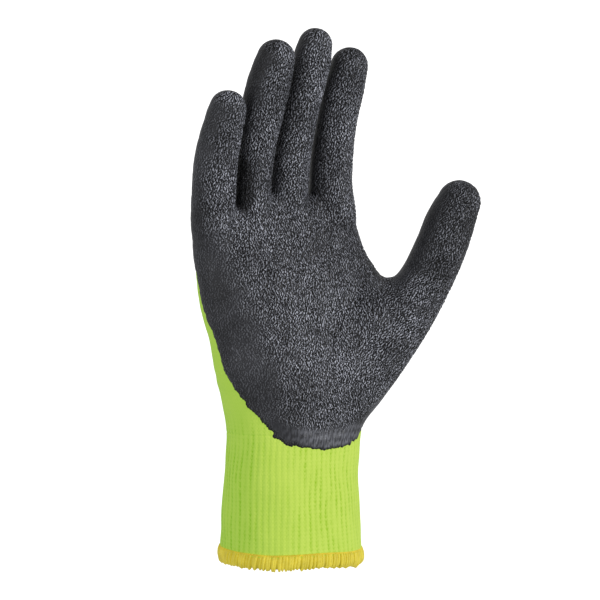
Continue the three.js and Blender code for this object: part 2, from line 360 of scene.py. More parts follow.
class StageSettings(bpy.types.PropertyGroup):
    """The plain studio."""

    drop: FloatProperty(
        name="Floor drop", description="How far the floor lies below the hem",
        default=0.055, min=0, max=1, **LENGTH,
    )
    distance: FloatProperty(
        name="Camera distance", description="Distance from the camera to the glove",
        default=0.8, min=0.3, max=5, **LENGTH,
    )
    turn: FloatProperty(
        name="Camera turn", description="How far round to the little finger's side it stands",
        default=math.radians(30), **ANGLE,
    )
    tilt: FloatProperty(
        name="Camera tilt", description="How far above the glove's level it stands",
        default=math.radians(1), **ANGLE,
    )


def smoothstep(low, high, value):
    """0 below low, 1 above high, and a smooth rise between."""
    t = np.clip((value - low) / (high - low), 0, 1)
    return t * t * (3 - 2 * t)


def smooth_max(a, b, reach):
    """The larger of two values, rounded where they are within reach of each other."""
    h = np.clip(0.5 + 0.5 * (a - b) / reach, 0, 1)
    return b + (a - b) * h + reach * h * (1 - h)


def smooth_rows(rows, step):
    """The rows of a table on smooth curves, about step mm apart, how far along each of them is, and
    how far along each row of the table is."""
    rows = np.array(rows, float)
    gaps = np.linalg.norm(np.diff(rows[:, :3], axis=0), axis=1)
    path = np.concatenate([[0], np.cumsum(gaps)])
    slope = np.gradient(rows, path, axis=0)
    at = np.linspace(0, path[-1], int(path[-1] / step) + 1)
    i = np.clip(np.searchsorted(path, at, "right") - 1, 0, len(gaps) - 1)
    h = gaps[i][:, None]
    t = (at[:, None] - path[i][:, None]) / h
    level = (2 * t**3 - 3 * t**2 + 1) * rows[i] + (3 * t**2 - 2 * t**3) * rows[i + 1]
    lean = (t**3 - 2 * t**2 + t) * slope[i] + (t**3 - t**2) * slope[i + 1]
    return level + lean * h, at, path


def waves(across, up, pitch, seed, count):
    """Evenly mixed ripples of about one pitch in all directions, near 1 at their highest."""
    draw = np.random.default_rng(seed)
    total = np.zeros(len(across))
    for _ in range(count):
        direction = draw.uniform(0, math.tau)
        size = math.tau / (pitch * draw.uniform(0.7, 1.3))
        push = across * (math.cos(direction) * size) + up * (math.sin(direction) * size)
        total += np.cos(push + draw.uniform(0, math.tau))
    return total / math.sqrt(count / 2)


def signed_power(value, power):
    """A power of the size of a value, with the value's sign."""
    return np.sign(value) * np.abs(value) ** power


def oval(turns, width, depth):
    """Points of a rounded oblong about (0, 0), evenly spaced along it. A turn runs from 0 to 1."""
    angle = np.linspace(0, math.tau, OVAL_STEPS + 1)
    x = width / 2 * signed_power(np.cos(angle), 2 / SQUARENESS)
    y = depth / 2 * signed_power(np.sin(angle), 2 / SQUARENESS)
    path = np.concatenate([[0], np.cumsum(np.hypot(np.diff(x), np.diff(y)))])
    at = np.asarray(turns) % 1 * path[-1]
    return np.interp(at, path, x), np.interp(at, path, y)


def circle(count):
    """Cosines and sines of even steps round a circle, with the first again at the end."""
    angle = np.arange(count + 1) / count * math.tau
    return np.cos(angle)[:, None], np.sin(angle)[:, None]


def level_ring(x, y, z):
    """Points of a ring that lies level at the height z."""
    return np.stack([x, y, np.full(len(x), z)], axis=1)


def tube(bm, places, uv=None, value=None):
    """Bends a grid into a tube. places is an array of rings, each with its first point again at
    its end, in mm. Rings that have shrunk to a point close an end. uv and value, where given, are
    a layer and what it holds at every point of the grid."""
    along, around = places.shape[0] - 1, places.shape[1] - 1
    made = bmesh.ops.create_grid(bm, x_segments=around, y_segments=along, size=1)["verts"]
    spots = {
        vert: (round((vert.co.y + 1) / 2 * along), round((vert.co.x + 1) / 2 * around))
        for vert in made
    }
    for vert, spot in spots.items():
        vert.co = places[spot] * MM
        if value:
            vert[value[0]] = value[1][spot]
    if uv:
        for loop in (loop for face in bm.faces for loop in face.loops):
            loop[uv[0]].uv = uv[1][spots[loop.vert]]
    bmesh.ops.remove_doubles(bm, verts=made, dist=1e-7)


def mesh_from(bm):
    """The mesh of a bmesh, with its faces turned outwards, because a grid can bend inside out."""
    bmesh.ops.recalc_face_normals(bm, faces=bm.faces)
    mesh = bpy.data.meshes.new("glove")
    bm.to_mesh(mesh)
    bm.free()
    return mesh


def placed(name, data):
    """A new object in the scene for a mesh, a light or a camera."""
    data.name = name
    obj = bpy.data.objects.new(name, data)
    bpy.context.scene.collection.objects.link(obj)
    return obj


def piece(name, mesh, material, node):
    """Shows a mesh as a piece of the glove that stands for a CAD node."""
    obj = placed(name, mesh)
    mesh.materials.append(material)
    mesh.shade_smooth()
    mesh.set_sharp_from_angle(angle=math.radians(70))
    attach(obj, BODY)
    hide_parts(node)


def finished(obj):
    """The mesh of an object with its modifiers worked in. The object goes."""
    bpy.context.view_layer.update()
    graph = bpy.context.evaluated_depsgraph_get()
    mesh = bpy.data.meshes.new_from_object(obj.evaluated_get(graph), depsgraph=graph)
    old = obj.data
    bpy.data.objects.remove(obj)
    bpy.data.meshes.remove(old)
    return mesh


def values_of(items, name, width):
    """A property of all points, faces or corners of a mesh, in rows of so many numbers."""
    values = np.empty(len(items) * width)
    items.foreach_get(name, values)
    return values.reshape(-1, width)


def points_of(mesh):
    """A mesh's points in mm."""
    return values_of(mesh.vertices, "co", 3) / MM


def taken(mesh, name):
    """Takes the value or vector of each point off a mesh."""
    layer = mesh.attributes[name]
    values = values_of(layer.data, *FIELDS[layer.data_type])
    mesh.attributes.remove(layer)
    return values


def unit(v):
    """A vector, or an array of them, made one long."""
    return v / np.linalg.norm(v, axis=-1, keepdims=True)


def digit_line(name):
    """A digit's middle line with its axes and half sizes, every millimetre."""
    rows, at, path = smooth_rows(DIGITS[name], 1.0)
    centre = rows[:, [X, Y, Z]]
    along = unit(np.gradient(centre, axis=0))
    across = unit(np.cross([0, 1, 0], along))
    return SimpleNamespace(
        centre=centre, along=along, across=across, back=np.cross(along, across),
        half=rows[:, [WIDTH, DEPTH]] / 2, at=at, join=path[JOIN_ROW[name]], rows=path, end=at[-1],
    )


LINES = {name: digit_line(name) for name in DIGITS}


def digit_place(points, line):
    """Where points lie on a digit: how far along it, across it and behind its middle, and how far
    outside its surface."""
    centre = line.centre
    nearest = np.empty(len(points), int)
    for start in range(0, len(points), CHUNK):
        part = points[start:start + CHUNK]
        far = (centre**2).sum(1)[None, :] - 2 * part @ centre.T
        nearest[start:start + CHUNK] = np.argmin(far, axis=1)
    off = points - centre[nearest]
    step = (off * line.along[nearest]).sum(1)
    u = (off * line.across[nearest]).sum(1)
    v = (off * line.back[nearest]).sum(1)
    a, b = line.half[nearest].T
    over = np.where(nearest == len(centre) - 1, np.maximum(step, 0), 0)
    under = np.where(nearest == 0, np.maximum(-step, 0), 0)
    share = np.sqrt((u / a) ** 2 + (v / b) ** 2 + (over / a) ** 2)
    return SimpleNamespace(
        s=line.at[nearest] + step, v=v, out=(share - 1) * np.minimum(a, b) + under,
        angle=np.arctan2(u / a, -v / b), round=(a + b) / 2, along=line.along[nearest],
        back=line.back[nearest],
    )


ARM_ROWS, _, _ = smooth_rows(ARM, 1.0)


def arm_arcs():
    """For every smooth row of the arm, how far along its rim each angle is from the middle of the
    back of the hand. The angle is 0 there and positive towards the thumb."""
    angles = np.linspace(-math.pi, math.pi, ARM_STEPS + 1)
    x = ARM_ROWS[:, WIDTH, None] / 2 * signed_power(np.sin(angles), 2 / SQUARENESS)
    y = ARM_ROWS[:, DEPTH, None] / 2 * signed_power(np.cos(angles), 2 / SQUARENESS)
    steps = np.hypot(np.diff(x, axis=1), np.diff(y, axis=1))
    arcs = np.concatenate([np.zeros((len(x), 1)), np.cumsum(steps, axis=1)], axis=1)
    return arcs - arcs[:, [ARM_STEPS // 2]]


ARM_ARCS = arm_arcs()


def arm_place(points):
    """Where points lie round the arm: as a share of a full turn from the middle of the back, how
    far outside its surface, and how long the way round is there."""
    row = np.interp(points[:, 2], ARM_ROWS[:, Z], np.arange(len(ARM_ROWS)))
    low = np.minimum(row.astype(int), len(ARM_ROWS) - 2)
    part = (row - low)[:, None]
    section = ARM_ROWS[low] * (1 - part) + ARM_ROWS[low + 1] * part
    x = (points[:, 0] - section[:, X]) / (section[:, WIDTH] / 2)
    y = (points[:, 1] - section[:, Y]) / (section[:, DEPTH] / 2)
    angle = np.arctan2(signed_power(x, SQUARENESS / 2), signed_power(y, SQUARENESS / 2))
    column = (angle + math.pi) / math.tau * ARM_STEPS
    left = np.clip(column.astype(int), 0, ARM_STEPS - 1)
    share = column - left
    arc = sum(
        weight * (ARM_ARCS[r, left] * (1 - share) + ARM_ARCS[r, left + 1] * share)
        for r, weight in ((low, 1 - part[:, 0]), (low + 1, part[:, 0]))
    )
    length = 2 * (ARM_ARCS[low, -1] * (1 - part[:, 0]) + ARM_ARCS[low + 1, -1] * part[:, 0])
    size = (np.abs(x) ** SQUARENESS + np.abs(y) ** SQUARENESS) ** (1 / SQUARENESS)
    out = (size - 1) * section[:, DEPTH] / 2 + np.maximum(points[:, 2] - ARM_ROWS[-1, Z], 0)
    return SimpleNamespace(turn=arc / length, out=out, length=length)


def arm_tube(bm):
    """The palm and wrist as a closed tube."""
    rows = ARM_ROWS[ARM_ROWS[:, Z] >= FORM_BOTTOM][::2]
    turns = np.arange(ARM_SIDES + 1) / ARM_SIDES
    rings = []
    for row in rows:
        x, y = oval(turns, row[WIDTH], row[DEPTH])
        rings.append(level_ring(row[X] + x, row[Y] + y, row[Z]))
    top = rows[-1]
    for angle in np.linspace(0, math.pi / 2, 7)[1:]:
        width = top[WIDTH] - 2 * ARM_CAP * (1 - math.cos(angle))
        x, y = oval(turns, width, top[DEPTH] * math.cos(angle))
        rings.append(level_ring(top[X] + x, top[Y] + y, top[Z] + ARM_CAP * math.sin(angle)))
    ends = [np.repeat(ring.mean(0)[None], len(turns), axis=0) for ring in (rings[0], rings[-1])]
    tube(bm, np.array([ends[0], *rings, ends[1]]))


def digit_tube(bm, line):
    """A digit as a closed tube with a round tip."""
    cos, sin = circle(DIGIT_SIDES)
    last = len(line.at) - 1

    def ring(k, share, on):
        half = line.half[k]
        centre = line.centre[k] + line.along[k] * on
        u, v = cos * half[0] * share, sin * half[1] * share
        return centre + u * line.across[k] + v * line.back[k]

    rings = [ring(0, 0, 0)] + [ring(k, 1, 0) for k in range(0, last + 1, 2)]
    for lift in np.linspace(0, math.pi / 2, 11):
        rings.append(ring(last, math.cos(lift), line.half[last][0] * math.sin(lift)))
    tube(bm, np.array(rings))


def form_tubes():
    """All tubes of the hand in one mesh, still running through each other."""
    bm = bmesh.new()
    arm_tube(bm)
    for line in LINES.values():
        digit_tube(bm, line)
    for middle, half in WEBS:
        matrix = Matrix.Translation(Vector(middle) * MM) @ Matrix.Diagonal((*half, 1))
        bmesh.ops.create_icosphere(bm, subdivisions=4, radius=MM, matrix=matrix)
    return mesh_from(bm)


def reskinned(mesh, voxel, rounds):
    """A mesh made one even skin of small squares, unless voxel is 0, and then smoothed. Each
    round names how strongly it takes each point, or none for all alike, and its repeats."""
    obj = placed("form", mesh)
    if voxel:
        remesh = obj.modifiers.new("one skin", "REMESH")
        remesh.mode = "VOXEL"
        remesh.voxel_size = voxel * MM
    for k, (strength, repeats) in enumerate(rounds):
        smooth = obj.modifiers.new("smooth", "SMOOTH")
        smooth.iterations = repeats
        smooth.factor = 0.5
        if len(strength):
            group = obj.vertex_groups.new(name=f"web {k}")
            levels = np.rint(strength * 8).astype(int)
            for level in range(1, 9):
                group.add(np.flatnonzero(levels == level).tolist(), level / 8, "REPLACE")
            smooth.vertex_group = group.name
    return finished(obj)


def rough_hand():
    """The tubes as one rough skin with soft webs between the digits."""
    mesh = reskinned(form_tubes(), COARSE, [])
    points = points_of(mesh)
    places = {name: digit_place(points, line) for name, line in LINES.items()}
    fingers = [arm_place(points).out] + [places[name].out for name in FINGERS]
    second = np.sort(np.abs(np.array(fingers)), axis=0)[1]
    web = 1 - smoothstep(1.5, 7, second)
    root = np.abs([places["thumb"].out, fingers[0]]).max(axis=0)
    root = (1 - smoothstep(5, 15, root)) * smoothstep(62, 78, points[:, 2])
    return reskinned(mesh, 0, [(web, 18), (root, 110)])


def hand_form(voxel):
    """The smooth outside of the worn knit from wrist to fingertips, one skin of squares of about
    voxel mm, and where each of its points lies on the arm and on every digit."""
    if "rough" not in FORMS:
        FORMS["rough"] = rough_hand()
    if voxel not in FORMS:
        rounds = max(1, round(8 * (LATEX / voxel) ** 2))
        size = voxel
        mesh = reskinned(FORMS["rough"].copy(), size, [((), rounds)])
        if len(mesh.polygons) < FEWEST_FACES:
            raise RuntimeError("the hand's form came out empty")
        points = points_of(mesh)
        digits = {name: digit_place(points, line) for name, line in LINES.items()}
        nearest = np.argmin([digits[name].out for name in DIGITS], axis=0)
        on = np.full(len(points), -1)
        for k, name in enumerate(DIGITS):
            at = digits[name]
            on[(nearest == k) & (at.s > LINES[name].join) & (at.out < 4)] = k
        FORMS[voxel] = SimpleNamespace(
            mesh=mesh, points=points, normals=values_of(mesh.vertex_normals, "vector", 3),
            faces=values_of(mesh.loops, "vertex_index", 1).astype(int).reshape(-1, 4),
            arm=arm_place(points), digits=digits, on=on,
        )
    return FORMS[voxel]


def by_face(form, values):
    """For every face of the form, the second smallest of its four corners' values."""
    return np.sort(values[form.faces], axis=1)[:, 1]


def coat_depth(form):
    """How far inside the coat's edge each point of the form lies, in mm, and the same for the
    heel's edge alone. Below zero the knit is bare."""
    x, y, z = form.points.T
    edge_x, edge_z = np.array(COAT_EDGE).T
    side_z, side_y = np.array(COAT_SIDE).T
    heel = z - np.interp(x, edge_x, edge_z)
    low_side = np.interp(z, side_z, side_y)
    blend = smoothstep(-10, 15, x)
    limit = low_side * (1 - blend) + PALM_WRAP * blend
    palm = -smooth_max(-heel, y - limit, 3)
    total = np.zeros(len(x))
    weight = np.zeros(len(x))
    for name in FINGERS:
        at = form.digits[name]
        cover = smooth_max(FINGER_WRAP - at.v, at.s - LINES[name].end + TIP_COVER, 4)
        near = np.exp(-np.clip(at.out, -5, 30) / 1.5)
        total += near * cover
        weight += near
    thumb, rows = form.digits["thumb"], LINES["thumb"].rows
    up = smoothstep(150, 172, z) * (thumb.out > 4)
    depth = palm * (1 - up) + total / weight * up
    own = smoothstep(rows[2] - 4, rows[3], thumb.s) * (1 - smoothstep(2, 6, thumb.out))
    return np.maximum(depth, -30) * (1 - own) + 14 * own, heel


def turned_back(directions):
    """Directions turned back by half the scatter that the wrinkles' pattern adds to both of a
    direction's angles, so that the wrinkles scatter evenly round the given directions."""
    half = (1 - WRINKLE_ORDER) * math.pi / 2
    down = np.arccos(np.clip(directions[:, 2], -1, 1)) - half
    round_z = np.arctan2(directions[:, 1], directions[:, 0]) - half
    return np.stack(
        [np.sin(down) * np.cos(round_z), np.sin(down) * np.sin(round_z), np.cos(down)], axis=1
    )


def hand_crinkle(form, depth, heel, pitch):
    """The crinkles of the latex, from -1 to 1, how strong they are at each point, how pale the
    latex is drawn there, with painted shade in the ring finger's root hollow and on the fingers'
    flanks in the gaps, and the direction across the palm or the digit."""
    x, y, z = form.points.T
    normal = form.normals
    field = np.tanh(waves(x, z, pitch, 11, 64))
    side = smoothstep(-30, 10, x)
    facing = smoothstep(0.42 - 0.4 * side, 0.78 - 0.38 * side, -normal[:, 1])
    edge_z, edge_x = np.array(CRINKLE_SIDE).T
    inside = x - SLANT * y - np.interp(z, edge_z, edge_x) + 1.2 * waves(x, z, 8, 8, 16)
    facing = np.minimum(facing, smoothstep(-12, 12, inside))
    along = np.tile([0.0, 0.0, 1.0], (len(x), 1))
    tone_and_shade = 1 + sum(
        gain * np.exp(-((x - middle) ** 2 + (z - height) ** 2) / size**2)
        for middle, height, size, gain in TONE_PATCHES
    )
    for seed, name in enumerate(DIGITS, 21):
        at = form.digits[name]
        line = LINES[name]
        start = line.rows[1] + (-2 if name == "thumb" else 4)
        own = smoothstep(start, start + 14, at.s) * (1 - smoothstep(2, 5, at.out))
        ripples = np.tanh(waves(at.angle * at.round, at.s, pitch, seed, 64))
        field = field * (1 - own) + ripples * own
        along = along * (1 - own[:, None]) + at.along * own[:, None]
        palm_side = -(normal * at.back).sum(1)
        if name == "thumb":
            share = smoothstep(-0.75, -0.2, palm_side) * smoothstep(-0.8, -0.1, normal @ THUMB_SIDE)
            tone_and_shade *= 1 - 0.36 * smoothstep(line.rows[3], line.rows[5], at.s) * own
        else:
            low, high = PLAIN_SIDE[name]
            up = smoothstep(line.rows[1], line.end, at.s)
            edge = np.radians(low + (high - low) * up)
            edge += 0.12 * waves(at.angle * 9, at.s, 9, 6, 16)
            share = smoothstep(-0.75, 0.6, at.angle + edge) * smoothstep(0.1, 0.45, palm_side)
            tone_and_shade *= 1 + own * (0.2 if name in ("little", "middle") else 0)
            if name != "little":
                # Painted shade on the flank that faces the little finger, in the gap between the
                # fingers
                tone_and_shade *= 1 - 0.45 * own * smoothstep(-0.55, -1.35, at.angle)
        tip = smoothstep(0.2, 0.6, (normal * at.along).sum(1)) * smoothstep(-0.3, 0.2, palm_side)
        tip *= smoothstep(line.end - 6, line.end, at.s)
        facing = facing * (1 - own) + np.maximum(share, tip) * own
    ring = form.digits["ring"]
    middle, height, turn, wide = HOLLOW_SHADE
    far = np.hypot((np.degrees(ring.angle) - turn) / wide, (z - middle) / height)
    # Painted shade in the hollow at the ring finger's root
    tone_and_shade *= 1 - 0.8 * (1 - smoothstep(0.5, 1.1, far)) * (ring.out < 3)
    patches = 0.95 + 0.12 * np.clip(waves(x, z, 17, 5, 16), -1.4, 1.4)
    strength = facing * patches * smoothstep(1.5, 5, depth) * smoothstep(7, 12, heel)
    return field, strength, tone_and_shade, turned_back(unit(np.cross(along, normal)))


def add_node(tree, kind, inputs=(), output=0, **settings):
    """Adds one node with its settings, fills its inputs and gives one of its outputs. inputs holds
    values or other nodes' outputs, as a list in the order of the sockets or as a dict. In a
    MapRange the order is value, from low, from high, to low, to high."""
    made = tree.nodes.new("ShaderNode" + kind)
    for name, value in settings.items():
        setattr(made, name, value)
    for socket, value in inputs.items() if isinstance(inputs, dict) else enumerate(inputs):
        if isinstance(value, bpy.types.NodeSocket):
            tree.links.new(value, made.inputs[socket])
        else:
            made.inputs[socket].default_value = value
    return made.outputs[output] if made.outputs else None


def new_material(name):
    """A material with nothing but its output."""
    material = bpy.data.materials.new(name)
    material.use_nodes = True
    material.node_tree.nodes.clear()
    return material, material.node_tree


def rgba(colour):
    """A linear colour, or the sRGB hex of one, with full alpha."""
    return (*(hex_colour(colour) if isinstance(colour, str) else colour), 1)


def knit_material(name, colour, shade):
    """Brushed acrylic knit: soft, matt and fluorescent, with a faint halo of loose fibre; its
    fluorescence is a constant painted glow. Its columns of V stitches follow the UV map, where a
    column and a course are 1 each. The gaps between stitches are darkened with painted shade, most
    where the attribute
    "valley" is high, between two ribs."""
    material, tree = new_material(name)
    uv = add_node(tree, "UVMap", uv_map="stitches")
    # Both legs of a stitch slope towards its middle, and each is a rounded strand
    across = add_node(tree, "SeparateXYZ", [uv])
    up = add_node(tree, "SeparateXYZ", [uv], output=1)
    inside = add_node(tree, "Math", [across], operation="FRACT")
    edge = add_node(tree, "Math", [inside, 2, -1], operation="MULTIPLY_ADD")
    edge = add_node(tree, "Math", [edge], operation="ABSOLUTE")
    slant = add_node(tree, "Math", [edge, -0.62, up], operation="MULTIPLY_ADD")
    strand = add_node(tree, "Math", [slant, 0.5], operation="PINGPONG")
    strand = add_node(tree, "Math", [strand, 2], operation="MULTIPLY")
    strand = add_node(tree, "Math", [strand, 0.55], operation="POWER")
    leg = add_node(tree, "Math", [edge, 0.5], operation="PINGPONG")
    leg = add_node(tree, "Math", [leg, 2], operation="MULTIPLY")
    leg = add_node(tree, "Math", [leg, 0.5], operation="POWER")
    stitch = add_node(tree, "Math", [strand, leg], operation="MULTIPLY")

    # Tufts of loose fibre 0.7 mm wide, which are finer on real yarn and as coarse here as they need
    # to show, then speckles of 2 mm in the valleys and clouds of 14 mm
    place = add_node(tree, "TexCoord", output="Object")
    fuzz = add_node(tree, "TexNoise", {"Vector": place, "Scale": 1500, "Detail": 4})
    height = add_node(tree, "Math", [fuzz, 0.8, stitch], operation="MULTIPLY_ADD")
    bump = add_node(tree, "Bump", {"Strength": 0.6, "Distance": 0.0002, "Height": height})

    # Painted shade: darker between the stitches, and more so between the ribs, where shade falls
    gap = add_node(tree, "MapRange", [stitch, 0, 0.6, 1, 0], interpolation_type="SMOOTHSTEP")
    valley = add_node(tree, "Attribute", attribute_name="valley", output="Fac")
    open_gap = add_node(tree, "Math", [valley, 0.7, 0.12], operation="MULTIPLY_ADD")
    dark = add_node(tree, "Math", [gap, open_gap], operation="MULTIPLY")
    speckle = add_node(tree, "TexNoise", {"Vector": place, "Scale": 520, "Detail": 2})
    open_valley = add_node(tree, "MapRange", [speckle, 0.36, 0.68, 0.12, 0.74])
    dark = add_node(tree, "Math", [valley, open_valley, dark], operation="MULTIPLY_ADD")
    cloud = add_node(tree, "TexNoise", {"Vector": place, "Scale": 70, "Detail": 3})
    cloudy = add_node(tree, "MapRange", [cloud, 0.3, 0.7, -0.05, 0.1])
    dark = add_node(tree, "Math", [dark, cloudy], operation="ADD", use_clamp=True)
    colours = {0: dark, 6: rgba(colour), 7: rgba(shade)}
    base = add_node(tree, "Mix", colours, output=2, data_type="RGBA")
    # The emission is a painted glow that stands in for the yarn's fluorescence: it makes the shaded
    # side greener and glows alike where no light falls
    surface = add_node(tree, "BsdfPrincipled", {
        "Base Color": base, "Roughness": 0.85, "Normal": bump, "IOR": 1.5,
        "Specular IOR Level": 0.2, "Sheen Weight": 0.09, "Sheen Roughness": 0.55,
        "Sheen Tint": rgba("f2fbd2"), "Emission Color": rgba("59ff00"), "Emission Strength": 0.23,
    })
    add_node(tree, "OutputMaterial", [surface])
    return material


def latex_material(name, colour, wrinkle):
    """Crinkled natural latex, dipped and washed while wet: half matt, with painted highlights that
    make its ridges pale and painted shade between them. The attribute "relief" is the height of the
    crinkles, "crinkled" their strength, "smooth" marks the band along the lower edge, paler partly
    from scuffs and partly as painted sheen, "tone_and_shade" is how pale the latex is drawn,
    painted shade included, and "across" points across the palm or the digit."""
    material, tree = new_material(name)
    relief, crinkled, smooth, tone_and_shade = (
        add_node(tree, "Attribute", attribute_name=attribute, output="Fac")
        for attribute in ("relief", "crinkled", "smooth", "tone_and_shade")
    )
    across = add_node(tree, "Attribute", attribute_name="across", output="Vector")
    # Grain 0.6 mm wide, which is finer on real latex and as coarse here as it needs to show
    place = add_node(tree, "TexCoord", output="Object")
    grains = {"Vector": place, "Scale": 1700, "Detail": 2, "Roughness": 0.6}
    grain = add_node(tree, "TexNoise", grains)

    # Short wrinkles that mostly run along the hand, bent by up to half of 0.9 mm every 1.1 mm, with
    # painted highlights on their ridges and painted shade between them
    bend = add_node(tree, "TexNoise", {"Vector": place, "Scale": 900, "Detail": 0}, output=1)
    bent = add_node(tree, "VectorMath", [bend, [0.0009] * 3, place], operation="MULTIPLY_ADD")
    wrinkles = add_node(tree, "TexGabor", {
        "Vector": bent, "Scale": 1 / (WRINKLE_RATE * wrinkle), "Frequency": WRINKLE_RATE,
        "Anisotropy": WRINKLE_ORDER, 5: across,
    }, gabor_type="3D")
    uneven = add_node(tree, "Math", [grain, 0.55, wrinkles], operation="MULTIPLY_ADD")
    uneven = add_node(tree, "Math", [relief, 0.03, uneven], operation="MULTIPLY_ADD")
    ridge = add_node(tree, "MapRange", [uneven, 0.69, 0.95], interpolation_type="SMOOTHSTEP")
    # Painted highlights: up to about eleven times paler on the ridges, and painted shade, near
    # black, between them
    pale = add_node(tree, "Math", [ridge, 2], operation="POWER")
    pale = add_node(tree, "Math", [pale, 11.2, 0.02], operation="MULTIPLY_ADD")
    # Plain latex is drawn 0.74 times its colour, and the band along the lower edge up to 3.4 times,
    # paler partly from scuffs and partly as painted sheen
    plain = add_node(tree, "MapRange", [smooth, 0, 1, 0.74, 3.4])
    shade = add_node(tree, "Mix", {0: crinkled, 2: plain, 3: pale}, data_type="FLOAT")
    # Clouds 18 mm wide
    cloud = add_node(tree, "TexNoise", {"Vector": place, "Scale": 55, "Detail": 3})
    cloudy = add_node(tree, "MapRange", [cloud, 0.32, 0.68, 0.66, 1.36])
    shade = add_node(tree, "Math", [shade, cloudy], operation="MULTIPLY")
    shade = add_node(tree, "Math", [shade, tone_and_shade], operation="MULTIPLY")
    base = add_node(tree, "VectorMath", {0: colour, "Scale": shade}, operation="SCALE")

    height = add_node(tree, "Math", [ridge, crinkled], operation="MULTIPLY")
    height = add_node(tree, "Math", [grain, 0.3, height], operation="MULTIPLY_ADD")
    bump = add_node(tree, "Bump", {"Strength": 1, "Distance": 0.00045, "Height": height})
    gloss = add_node(tree, "MapRange", [grain, 0.3, 0.7, 0.26, 0.42])
    surface = add_node(tree, "BsdfPrincipled", {
        "Base Color": base, "Roughness": gloss, "Normal": bump, "IOR": 1.52,
        "Specular IOR Level": 0.25,
    })
    add_node(tree, "OutputMaterial", [surface])
    return material


def thread_material(name, colour):
    """Textured polyester overlock thread: soft loops of fine filament with a little shine, and a
    constant painted glow. The attribute "deep" marks the yarn in the gaps between the loops, which
    hardly any light meets, and darkens it there as painted shade."""
    material, tree = new_material(name)
    # Filament 0.7 mm wide, as coarse as it needs to show, and clouds of 4 mm. The UV map is in mm.
    uv = add_node(tree, "UVMap", uv_map="thread")
    place = add_node(tree, "TexCoord", output="Object")
    winding = {"Vector": uv, "Scale": 1, "Distortion": 1.5, "Detail": 2, "Detail Scale": 1.5}
    twist = add_node(tree, "TexWave", winding, bands_direction="DIAGONAL")
    fuzz = add_node(tree, "TexNoise", {"Vector": place, "Scale": 1500, "Detail": 3})
    height = add_node(tree, "Math", [twist, 0.5, fuzz], operation="MULTIPLY_ADD")
    bump = add_node(tree, "Bump", {"Strength": 0.5, "Distance": 0.0003, "Height": height})
    cloud = add_node(tree, "TexNoise", {"Vector": place, "Scale": 260, "Detail": 2})
    # Clouds of random tone, and painted shade in the low parts of the twist and fuzz
    tone_and_shade = add_node(tree, "Math", [cloud, 2.2, height], operation="MULTIPLY_ADD")
    tone_and_shade = add_node(tree, "MapRange", [tone_and_shade, 1.15, 2.4, 0.66, 1.24])
    deep = add_node(tree, "Attribute", attribute_name="deep", output="Fac")
    # Painted shade in the gaps between the loops
    unshaded_share = add_node(tree, "Math", [deep, -0.8, 1], operation="MULTIPLY_ADD")
    tone_and_shade = add_node(tree, "Math", [tone_and_shade, unshaded_share], operation="MULTIPLY")
    base = add_node(tree, "VectorMath", {0: colour, "Scale": tone_and_shade}, operation="SCALE")
    # The emission is a painted glow that keeps the thread bright on its shaded side and glows alike
    # where no light falls
    surface = add_node(tree, "BsdfPrincipled", {
        "Base Color": base, "Roughness": 0.7, "Normal": bump, "IOR": 1.5,
        "Specular IOR Level": 0.35, "Sheen Weight": 0.2, "Sheen Roughness": 0.4,
        "Emission Color": rgba("ffeb30"), "Emission Strength": 0.28,
    })
    add_node(tree, "OutputMaterial", [surface])
    return material


def wall_inside(mesh, thickness, seen, thin):
    """Gives a skin its wall on the inside and thins out what is never seen: the inner side, and
    where the attribute "unseen" is 1. seen is the share of the skin's own faces that shows, and
    thin is the share of all the others that stays."""
    unseen = taken(mesh, "unseen")[:, 0]
    obj = placed("wall", mesh)
    hidden = obj.vertex_groups.new(name="hidden")
    hidden.add(np.flatnonzero(unseen > 0.5).tolist(), 1, "REPLACE")
    obj.vertex_groups.new(name="shell")
    solid = obj.modifiers.new("wall", "SOLIDIFY")
    solid.thickness = thickness
    solid.offset = -1
    solid.shell_vertex_group = "shell"
    both = obj.modifiers.new("inside shell", "VERTEX_WEIGHT_MIX")
    both.vertex_group_a = "hidden"
    both.vertex_group_b = "shell"
    both.mix_mode = "ADD"
    both.mix_set = "ALL"
    less = obj.modifiers.new("thin out", "DECIMATE")
    less.ratio = min(1, (seen + (2 - seen) * thin) / 2)
    less.vertex_group = "hidden"
    less.vertex_group_factor = 1000
    return finished(obj)


def cut_form(form, points, keep, values, uv=None, floor=None):
    """A part of the form: its points moved to new places, and only the faces in keep left, above
    the level floor. values holds a value or a vector for each point, and uv one pair for each
    corner of a face."""
    mesh = form.mesh.copy()
    mesh.vertices.foreach_set("co", (points * MM).ravel())
    for name, value in values.items():
        kind = "FLOAT_VECTOR" if value.ndim == 2 else "FLOAT"
        layer = mesh.attributes.new(name, kind, "POINT")
        layer.data.foreach_set(FIELDS[kind][0], value.ravel())
    if uv is not None:
        mesh.uv_layers.new(name="stitches").data.foreach_set("uv", uv.reshape(-1))
    bm = bmesh.new()
    bm.from_mesh(mesh)
    doomed = [face for face, stays in zip(bm.faces, keep) if not stays]
    bmesh.ops.delete(bm, geom=doomed, context="FACES")
    if floor is not None:
        bmesh.ops.bisect_plane(
            bm, geom=[*bm.verts, *bm.edges, *bm.faces], dist=1e-6, plane_co=(0, 0, floor * MM),
            plane_no=(0, 0, 1), clear_inner=True,
        )
    bm.to_mesh(mesh)
    bm.free()
    return mesh


def swayed(turn, z):
    """A place round the arm, as a share of a turn, with the slight sway of the knit's columns."""
    sway = 0.0016 * np.sin(math.tau * (3 * turn + z / 70))
    sway += 0.0007 * np.sin(math.tau * (7 * turn - z / 34) + 1)
    return turn + sway + 0.0004 * np.sin(math.tau * (13 * turn + z / 21) + 2)


